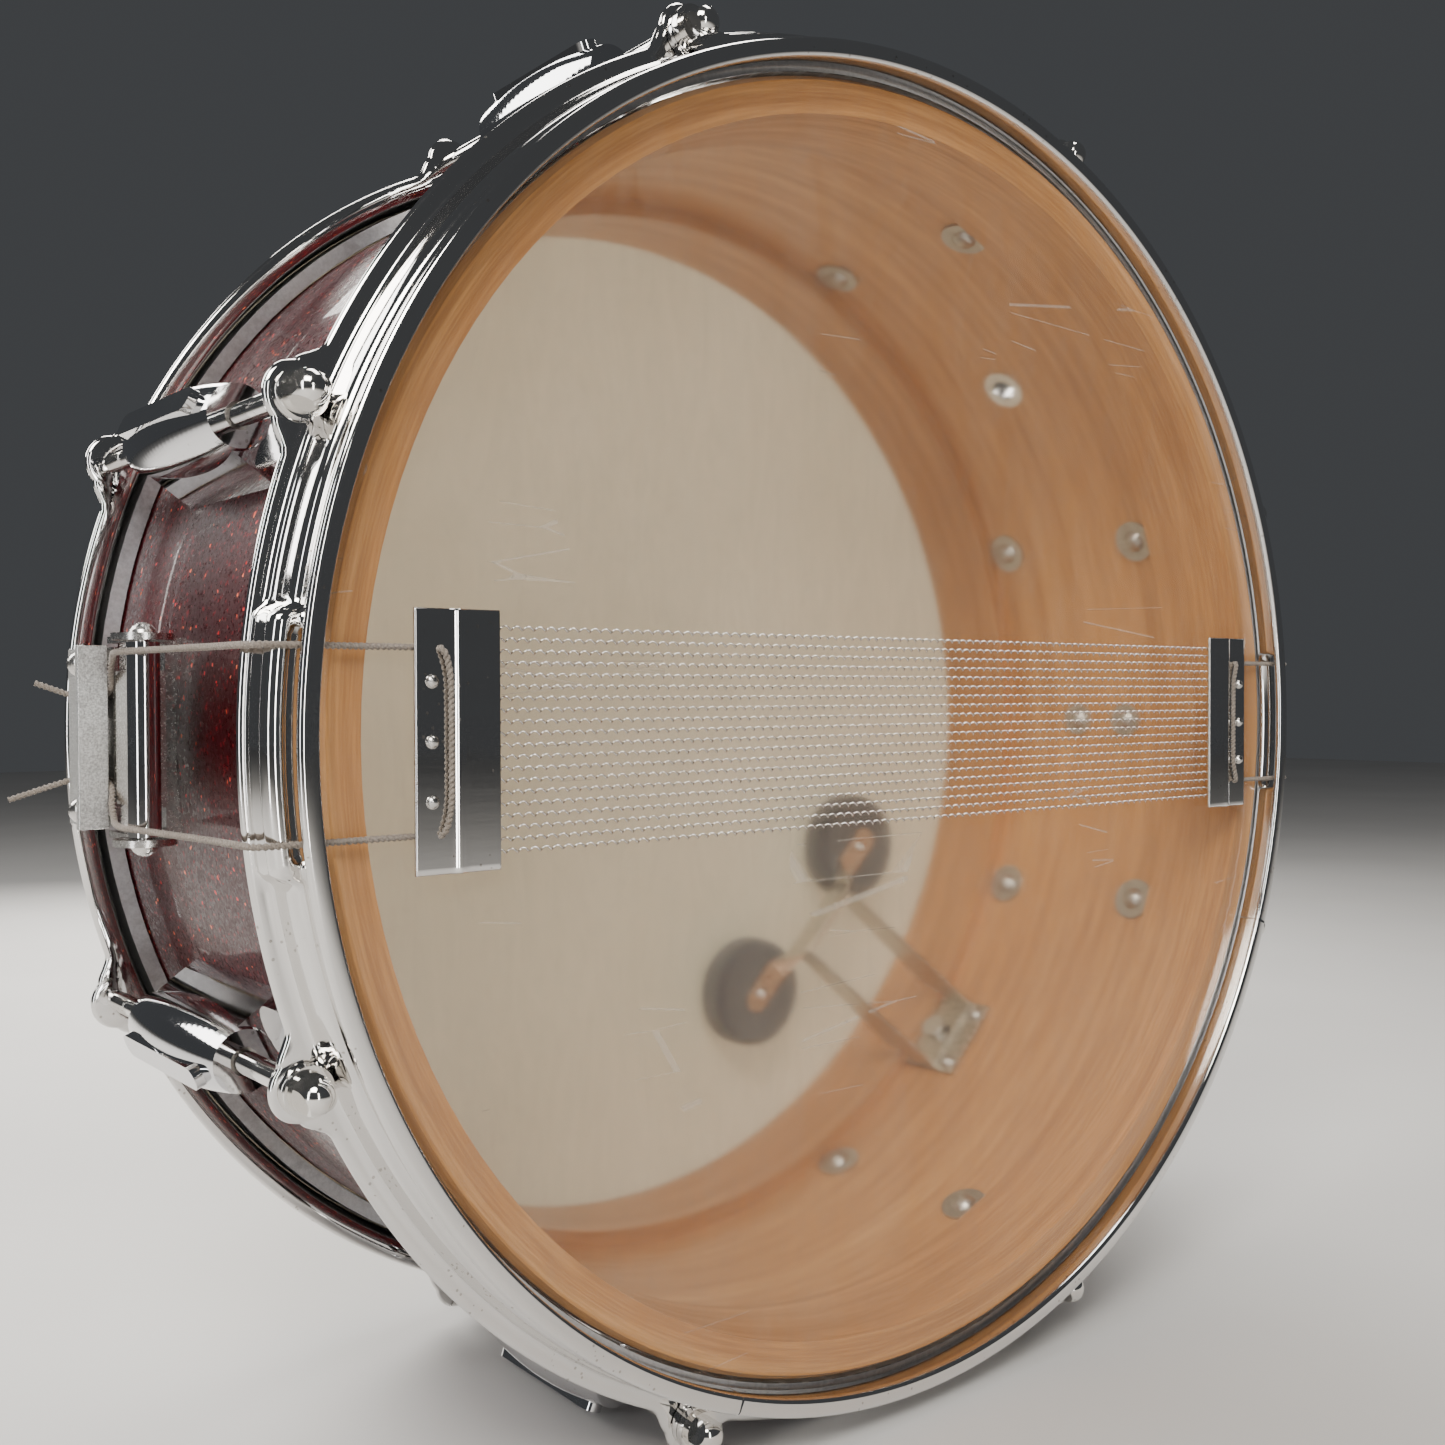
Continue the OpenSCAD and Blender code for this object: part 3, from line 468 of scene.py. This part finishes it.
def smooth_path(points, steps):
    """The same curve through the route's points as the CAD's, in metres."""
    p = np.array(points, float) * MM
    out = []
    for i in range(len(p) - 1):
        a, b, c, d = p[max(i - 1, 0)], p[i], p[i + 1], p[min(i + 2, len(p) - 1)]
        for k in range(steps):
            t = k / steps
            out.append(0.5 * (2 * b + (c - a) * t + (2 * a - 5 * b + 4 * c - d) * t * t
                              + (3 * b - a - 3 * c + d) * t ** 3))
    out.append(p[-1])
    return np.array(out)


def resample(path, gap):
    """The path at even steps of about the gap, and its length."""
    lengths = np.concatenate([[0], np.cumsum(np.linalg.norm(np.diff(path, axis=0), axis=1))])
    n = max(2, int(round(lengths[-1] / gap)))
    at = np.linspace(0, lengths[-1], n + 1)
    return np.stack([np.interp(at, lengths, path[:, k]) for k in range(3)], 1), lengths[-1]


def normals_along(path):
    """Two normals carried along the path without twist."""
    t = np.gradient(path, axis=0)
    t /= np.linalg.norm(t, axis=1)[:, None]
    ref = np.array([0, 1, 0]) if abs(t[0][1]) < 0.9 else np.array([1, 0, 0])
    s = np.cross(t[0], ref)
    sides = []
    for v in t:
        s = s - (s @ v) * v
        s /= np.linalg.norm(s)
        sides.append(s.copy())
    sides = np.array(sides)
    return sides, np.cross(t, sides)


# ---------- hoops ----------

RIM_TO_RIM = 153.7
ROD_R, EAR_R, EAR_SPAN = 192.0, 7.4, 0.05
FLANGE_R, FLANGE_Y = 190.8, (15.95, 18.02)
GATE = 30.0  # half the width of a snare gate
GATE_FADE, GATE_OPEN = (GATE - 3.2, GATE + 0.4), GATE - 3.4
SLOT_OUTSIDE, SLOT_INSIDE = [9, 10, 11, 12], [-4, -3, -2, -1]  # points of the hoop's outline


def blend_in(edge0, edge1, x):
    t = np.clip((x - edge0) / (edge1 - edge0), 0, 1)
    return t * t * (3 - 2 * t)


def flange_reach(theta):
    """The flange's radius: it swells into an ear at every tension rod."""
    period = math.pi / 4
    off = (theta - math.pi / 8 + period / 2) % period - period / 2
    d = np.abs(off) * ROD_R
    round_end = ROD_R * np.cos(off) + np.sqrt(np.maximum(EAR_R ** 2 - d ** 2, 0))
    ear = np.where(d < EAR_R, round_end, FLANGE_R)
    tail = FLANGE_R + 4.5 * (1 - blend_in(EAR_R - 1.2, EAR_R + 6.0, d))
    return np.maximum(np.maximum(ear, tail), FLANGE_R)


def hoop_outline(gate, reach):
    """A hoop's section from the rim outwards and back: radius and distance from the rim plane.

    gate goes from 0 on the plain hoop to 1 across a snare gate, where the wall under the rim opens
    out into a doubly ridged saddle. reach is the flange's radius.
    """
    low, high = FLANGE_Y

    def mix(plain, saddle):
        return plain + (saddle - plain) * gate

    return [
        (179.7, 1.0), (180.0, 0.35), (180.8, 0.0), (183.4, 0.0), (184.2, 0.3), (184.55, 1.0),
        (184.5, 1.6), (184.1, 1.8), (182.4, 1.85), (181.6, 2.1),
        (181.4, mix(2.9, 2.4)), (mix(181.4, 182.3), mix(4.6, 4.9)),
        (mix(181.45, 184.6), mix(5.9, 5.6)), (mix(181.9, 186.4), mix(6.6, 5.25)),
        (mix(183.0, 187.9), mix(6.8, 5.5)), (mix(184.3, 188.9), mix(7.1, 6.4)),
        (mix(184.9, 189.4), mix(8.2, 7.9)), (mix(185.2, 189.2), mix(9.8, 9.4)),
        (mix(185.5, 188.4), mix(11.2, 10.5)), (mix(185.8, 188.4), mix(12.8, 11.6)),
        (mix(186.0, 189.1), mix(14.2, 12.9)), (mix(186.3, 189.2), mix(15.2, 14.4)),
        (mix(187.0, 189.2), mix(15.8, 15.5)), (mix(188.4, 189.5), low),
        (reach - 1.1, low), (reach - 0.3, 16.25), (reach, 17.0), (reach - 0.3, 17.75),
        (reach - 1.1, high), (187.0, high), (185.6, 17.7), (184.7, 16.8), (184.2, 15.0),
        (183.7, 12.0), (183.2, 9.8), (182.7, 8.75), (181.4, 8.6), (180.2, 8.5), (179.75, 8.0),
        (179.6, 6.9), (179.6, 4.0), (179.6, 2.0)]


def hoop_mesh(name, cad_name, gated, flip):
    """One pressed hoop swept round the drum, with solid ears. A gated one has its snare slots."""
    ears = [math.pi / 8 + i * math.pi / 4 + np.linspace(-EAR_SPAN, EAR_SPAN, 41) for i in range(8)]
    even = np.linspace(0, 2 * math.pi, 721)[:-1]
    theta = np.unique(np.concatenate([even, *ears]) % (2 * math.pi))
    z = ROD_R * np.sin(theta)
    gate = (1 - blend_in(*GATE_FADE, np.abs(z))) if gated else np.zeros_like(theta)
    is_open = (np.abs(z) < GATE_OPEN) if gated else np.zeros(len(theta), bool)
    rings = np.array([hoop_outline(g, r) for g, r in zip(gate, flange_reach(theta))])
    verts = [(r * math.cos(t) * MM, (RIM_TO_RIM - y if flip else y) * MM, r * math.sin(t) * MM)
             for t, ring in zip(theta, rings) for r, y in ring]
    count = rings.shape[1]
    outside, inside = SLOT_OUTSIDE, [count + i for i in SLOT_INSIDE]
    wall = {*outside[:-1], *inside[:-1]}
    faces = []
    for j in range(len(theta)):
        k = (j + 1) % len(theta)
        through = is_open[j] and is_open[k]
        for i in range(count):
            q = (i + 1) % count
            if not (through and i in wall):
                faces.append((j * count + i, j * count + q, k * count + q, k * count + i))
        if through:
            for a, b in ((outside[0], inside[-1]), (inside[0], outside[-1])):
                faces.append((j * count + a, j * count + b, k * count + b, k * count + a))
        if is_open[j] and is_open[k] != is_open[j - 1]:
            faces.append(tuple(j * count + i for i in outside + inside))
    o = mesh_object(name, verts, faces, hoop_chrome)
    shell = bmesh.new()
    shell.from_mesh(o.data)
    bmesh.ops.recalc_face_normals(shell, faces=shell.faces)
    shell.to_mesh(o.data)
    shell.free()
    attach(o, "drum")
    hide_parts(cad_name)


hoop_mesh("pressed_snare_hoop", "snare_hoop", True, False)
hoop_mesh("pressed_batter_hoop", "batter_hoop", False, True)

# ---------- snare end plates ----------

PLATE_LENGTH, PLATE_HALF_W, PLATE_THICK = 20.9, 28.8, 0.8
PLATE_HEAD_Y = 4.30  # the face next to the head
PLATE_CORNER, PLATE_BEVEL = 0.5, 0.12
PLATE_STEPS = 44
RIDGE_AT, RIDGE_WIDTH, RIDGE_LIFT = 0.515, 0.052, 0.62
DISH_FROM, DISH_DEPTH = 0.56, 0.10


def end_plate(name, outer_x, inward):
    """A pressed plate: a flat outer part, a rounded ridge along its middle, then a slight dish."""
    line = []
    for i in range(PLATE_STEPS + 1):
        u = i / PLATE_STEPS
        ridge = RIDGE_LIFT * math.exp(-((u - RIDGE_AT) / RIDGE_WIDTH) ** 2)
        dish = DISH_DEPTH * math.sin(math.pi * max(0, (u - DISH_FROM) / (1 - DISH_FROM)))
        line.append((outer_x + inward * u * PLATE_LENGTH, PLATE_HEAD_Y - (ridge - dish)))
    side = PLATE_HALF_W
    across = [-side, -side + PLATE_CORNER, *np.linspace(-side + 1.5, side - 1.5, 24),
              side - PLATE_CORNER, side]
    verts = []
    for z in across:
        drop = PLATE_BEVEL if abs(z) == side else 0.0
        verts += [(x * MM, (y - PLATE_THICK + drop) * MM, z * MM) for x, y in line]
        verts += [(x * MM, (y - drop) * MM, z * MM) for x, y in reversed(line)]
    faces = tube_faces(len(across), 2 * len(line))
    if inward < 0:
        faces = [tuple(reversed(f)) for f in faces]
    o = mesh_object(name, verts, faces, plate_chrome)
    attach(o, "drum")
    return o


plates = [end_plate("strainer_end_plate", -157, 1), end_plate("butt_end_plate", 162, -1)]
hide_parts("snare_end_plates")

# ---------- snare strands ----------

STRAND_COUNT, STRAND_PITCH = 20, 2.63
STRAND_X, STRAND_Y = (-142, 149), 5.55
COIL_R, COIL_PITCH = 0.47, 3.05
WIRE_R, WIRE_SIDES = 0.21, 6
STEPS_A_TURN = 14


def coils():
    """Every strand is a stretched coil of wire. Every other one is half a turn ahead."""
    n = int((STRAND_X[1] - STRAND_X[0]) / COIL_PITCH * STEPS_A_TURN)
    t = np.arange(n + 1) / STEPS_A_TURN * 2 * math.pi
    x = STRAND_X[0] + t / (2 * math.pi) * COIL_PITCH
    advance = np.full_like(t, COIL_PITCH / (2 * math.pi))
    ring_a = np.arange(WIRE_SIDES) / WIRE_SIDES * 2 * math.pi
    i = np.arange(n)[:, None] * WIRE_SIDES
    j = np.arange(WIRE_SIDES)[None, :]
    q = (j + 1) % WIRE_SIDES
    quads = np.stack([i + j, i + q, i + WIRE_SIDES + q, i + WIRE_SIDES + j], -1).reshape(-1, 4)
    verts, faces = [], []
    for strand in range(STRAND_COUNT):
        z0 = (strand - (STRAND_COUNT - 1) / 2) * STRAND_PITCH
        phase = (strand % 2) * math.pi
        c, s = np.cos(t + phase), np.sin(t + phase)
        centre = np.stack([x, STRAND_Y + COIL_R * c, z0 + COIL_R * s], 1)
        tangent = np.stack([advance, -COIL_R * s, COIL_R * c], 1)
        tangent /= np.linalg.norm(tangent, axis=1)[:, None]
        outward = np.stack([np.zeros_like(t), c, s], 1)
        other = np.cross(tangent, outward)
        ring = (centre[:, None, :]
                + WIRE_R * (np.cos(ring_a)[None, :, None] * outward[:, None, :]
                            + np.sin(ring_a)[None, :, None] * other[:, None, :]))
        verts.append(ring.reshape(-1, 3))
        faces.append(quads + strand * (n + 1) * WIRE_SIDES)
    return mesh_object("snare_coils", (np.concatenate(verts) * MM).tolist(),
                       np.concatenate(faces).tolist(), wire)


coil_set = coils()
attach(coil_set, "drum")
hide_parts("snare_strands")

# ---------- cords ----------

CORD_R = 0.8 * MM
CORD_LAY, CORD_STEP = 0.0026, 0.00028
CORD_PLIES, CORD_CORNERS = 2, 18
CORD_CORE, CORD_LOBE = 0.58, 0.42  # shares of the radius
AT_CLAMP = 5  # the point of either cord end that lies under the clamp's block
Z = 20.3  # half the distance between a cord's two runs


def rope(name, points, steps):
    """A twisted cord: its section has a lobe for each ply and turns once in every lay length."""
    path, length = resample(smooth_path(points, steps), CORD_STEP)
    s, u = normals_along(path)
    gap = length / (len(path) - 1)
    corner = np.arange(CORD_CORNERS) / CORD_CORNERS * 2 * math.pi
    reach = CORD_R * (CORD_CORE + CORD_LOBE * np.abs(np.cos(CORD_PLIES * corner / 2)))
    verts = []
    for i, p in enumerate(path):
        turn = 2 * math.pi * i * gap / CORD_LAY
        for a, r in zip(corner + turn, reach):
            verts.append(p + r * (math.cos(a) * s[i] + math.sin(a) * u[i]))
    return mesh_object(name, verts, tube_faces(len(path), CORD_CORNERS), braided), path, length


def plate_half(x, s):
    """Half a cord's route through an end plate's holes. s is 1 at the strainer, -1 at the butt."""
    return [(x + s * 2.2, 2.6, 0), (x + s * 2.2, 2.6, 7), (x + s * 2, 2.6, 14),
            (x + s * 0.9, 2.5, 18.6), (x, 3, 20.1), (x, 4.3, Z), (x - s * 1.2, 5.35, Z),
            (x - s * 6, 5.4, Z), (x - s * 15, 5.2, Z)]


STRAINER_HALF = plate_half(-151, 1) + [
    (-174, 4.7, Z), (-181, 4.4, Z), (-187, 4.4, Z), (-190.4, 5, Z), (-192.1, 7, Z),
    (-192.4, 9, Z), (-192.6, 13, Z), (-193.4, 28, Z), (-195.2, 48, Z), (-197.1, 66, Z),
    (-197.2, 69, Z), (-196.9, 73, Z)]
BUTT_HALF = plate_half(156, -1) + [
    (175, 4.7, Z), (181, 4.4, Z), (187, 4.4, Z), (190.4, 5, Z), (192.1, 7, Z), (192.4, 9, Z),
    (192.4, 13, Z), (192.1, 30, Z), (191.6, 50, Z), (191.4, 62, Z), (191.4, 84, Z)]
UPPER_END = [
    (-196.4, 76, 20.2), (-195.6, 80, 20), (-194.4, 84.5, 18.8), (-193.7, 88.2, 15.8),
    (-192.4, 91.6, 12.5), (-192.4, 95, 10.6), (-192.4, 106, 9), (-193.2, 110, 9.2),
    (-196.4, 114, 10.6), (-203, 118, 13.4)]
LOWER_END = [
    (-196.4, 76, -20.2), (-195.6, 80, -20), (-194.4, 84.5, -18.8), (-193.7, 88.2, -15.8),
    (-192.4, 91.6, -12.8), (-192.4, 95, -11.2), (-192.4, 106, -10), (-193.4, 110, -10.2),
    (-198.4, 114.6, -12), (-209, 120, -16)]


def flipped(points):
    return [(x, y, -z) for x, y, z in reversed(points)]


# The strainer's cord bends from the drum to the lever, and ends under the clamp's block
route = (list(reversed(LOWER_END[:AT_CLAMP + 1])) + flipped(STRAINER_HALF[1:])
         + STRAINER_HALF + UPPER_END[:AT_CLAMP + 1])
cord_piece, cord_path, cord_len = rope("strainer_snare_cord", route, 4)
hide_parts("strainer_cord")
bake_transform(cord_piece)

butt_route = flipped(BUTT_HALF[1:]) + BUTT_HALF
butt_piece, butt_path, butt_len = rope("butt_snare_cord", butt_route, 4)
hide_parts("butt_cord")
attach(butt_piece, "drum")

upper_tail = rope("cord_tail_upper", UPPER_END[AT_CLAMP:], 6)[0]
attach(upper_tail, "cord_clamp")
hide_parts("strainer_cord_ends")
lower_tail = rope("cord_tail_lower", LOWER_END[AT_CLAMP:], 6)[0]
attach(lower_tail, "cord_clamp")

# ---------- muffler pads ----------

PAD_R, PAD_Y, PAD_ROUND = 20.0, (130.0, 142.0), 3.4
PAD_HUB = 0.4  # radius of the flat cap in the middle of either face
PAD_CENTRE, PAD_APART = 105, 35.7
PAD_STEPS = 96
PAD_WAVE, PAD_SHRINK = 0.22, 0.35
FUZZ_OUT, FUZZ_UP = 0.055, 0.05


def pad_section():
    """Half a pad's section, from the middle of its low face round the rim to its high face."""
    low_y, high_y = PAD_Y
    flat_r = PAD_R - PAD_ROUND
    arc = np.linspace(0, math.pi / 2, 8)
    section = [(r, low_y) for r in np.linspace(PAD_HUB, flat_r, 12)]
    section += [(flat_r + PAD_ROUND * math.sin(a), low_y + PAD_ROUND * (1 - math.cos(a)))
                for a in arc[1:]]
    section += [(PAD_R, y) for y in np.linspace(low_y + PAD_ROUND, high_y - PAD_ROUND, 5)[1:-1]]
    section += [(flat_r + PAD_ROUND * math.cos(a), high_y - PAD_ROUND * (1 - math.sin(a)))
                for a in arc]
    return section + [(r, high_y) for r in np.linspace(flat_r, PAD_HUB, 12)[1:]]


def felt_pad(name, x, z, seed):
    """A pressed felt disc with a rounded edge, its surface lumpy and out of round."""
    rng = np.random.default_rng(seed)
    section = pad_section()
    count = len(section)
    waves = [(k, rng.uniform(0, 2 * math.pi), PAD_WAVE / k) for k in range(2, 9)]
    verts, faces = [], []
    for t in np.arange(PAD_STEPS) / PAD_STEPS * 2 * math.pi:
        wobble = sum(a * math.sin(k * t + start) for k, start, a in waves)
        for r, y in section:
            near_rim = (r / PAD_R) ** 2
            fuzz = rng.normal(0, FUZZ_OUT)
            out = min(r + near_rim * (wobble - PAD_SHRINK) + fuzz, PAD_R)
            up = min(max(y + rng.normal(0, FUZZ_UP), PAD_Y[0]), PAD_Y[1])
            verts.append(((x + out * math.cos(t)) * MM, up * MM, (z + out * math.sin(t)) * MM))
    for j in range(PAD_STEPS):
        k = (j + 1) % PAD_STEPS
        for i in range(count - 1):
            faces.append((j * count + i, j * count + i + 1, k * count + i + 1, k * count + i))
    faces.append(tuple(j * count for j in range(PAD_STEPS)))
    faces.append(tuple(j * count + count - 1 for j in reversed(range(PAD_STEPS))))
    pad = mesh_object(name, verts, faces, grey_felt)
    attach(pad, "muffler_arm")
    return pad


DIAGONAL = math.sqrt(0.5)
pads = [felt_pad(f"felt_pad_{side}", DIAGONAL * (PAD_CENTRE + s * PAD_APART),
                 DIAGONAL * (-PAD_CENTRE + s * PAD_APART), 3 + s)
        for side, s in (("lower", -1), ("upper", 1))]
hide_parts("muffler_pads")

# ---------- stage ----------

FLOOR_HALF = 4

floor_look = Shader("floor", Roughness=0.75)
cloud = floor_look.noise(floor_look.coord, 3.0, 3)
floor_look.set("Base Color", floor_look.ramp(
    cloud, (0.3, (0.60, 0.59, 0.575)), (0.7, (0.66, 0.65, 0.635))))
floor_corners = [(x * FLOOR_HALF, y * FLOOR_HALF, cad_box[0].z)
                 for x, y in ((-1, -1), (1, -1), (1, 1), (-1, 1))]
floor = mesh_object("floor", floor_corners, [(0, 1, 2, 3)], floor_look.mat, False)

world = bpy.data.worlds.new("studio")
scene.world = world
world.use_nodes = True
background = world.node_tree.nodes["Background"]
background.inputs["Color"].default_value = (0.055, 0.058, 0.062, 1)
background.inputs["Strength"].default_value = 1.0


def softbox(name, place, target, size, power, colour):
    light = bpy.data.lights.new(name, "AREA")
    light.shape = "RECTANGLE"
    light.size, light.size_y = size
    light.energy = power
    light.color = colour
    o = bpy.data.objects.new(name, light)
    scene.collection.objects.link(o)
    aim = (Vector(target) - Vector(place)).to_track_quat("-Z", "Y")
    o.matrix_world = Matrix.Translation(Vector(place)) @ aim.to_matrix().to_4x4()


softbox("key", (-0.85, -0.75, 1.05), (0.02, 0.06, 0), (0.75, 0.6), 26, (1, 0.965, 0.91))
softbox("front_left", (-1.25, -0.45, 0.15), (-0.15, 0.0, 0), (0.16, 1.1), 5, (0.97, 0.98, 1))
softbox("strip", (-0.36, -1.05, 0.0), (-0.15, 0.0, 0), (0.10, 0.95), 4, (1, 0.98, 0.96))
softbox("rear", (-0.75, 0.95, 0.75), (0, 0.1, 0), (0.6, 0.8), 13, (1, 0.98, 0.95))
softbox("back", (0.35, 1.05, 0.45), (0, 0.16, 0), (0.7, 0.7), 17, (1, 0.965, 0.91))
softbox("top", (0.15, 0.15, 1.25), (0, 0.08, 0), (0.9, 0.35), 9, (1, 0.97, 0.94))
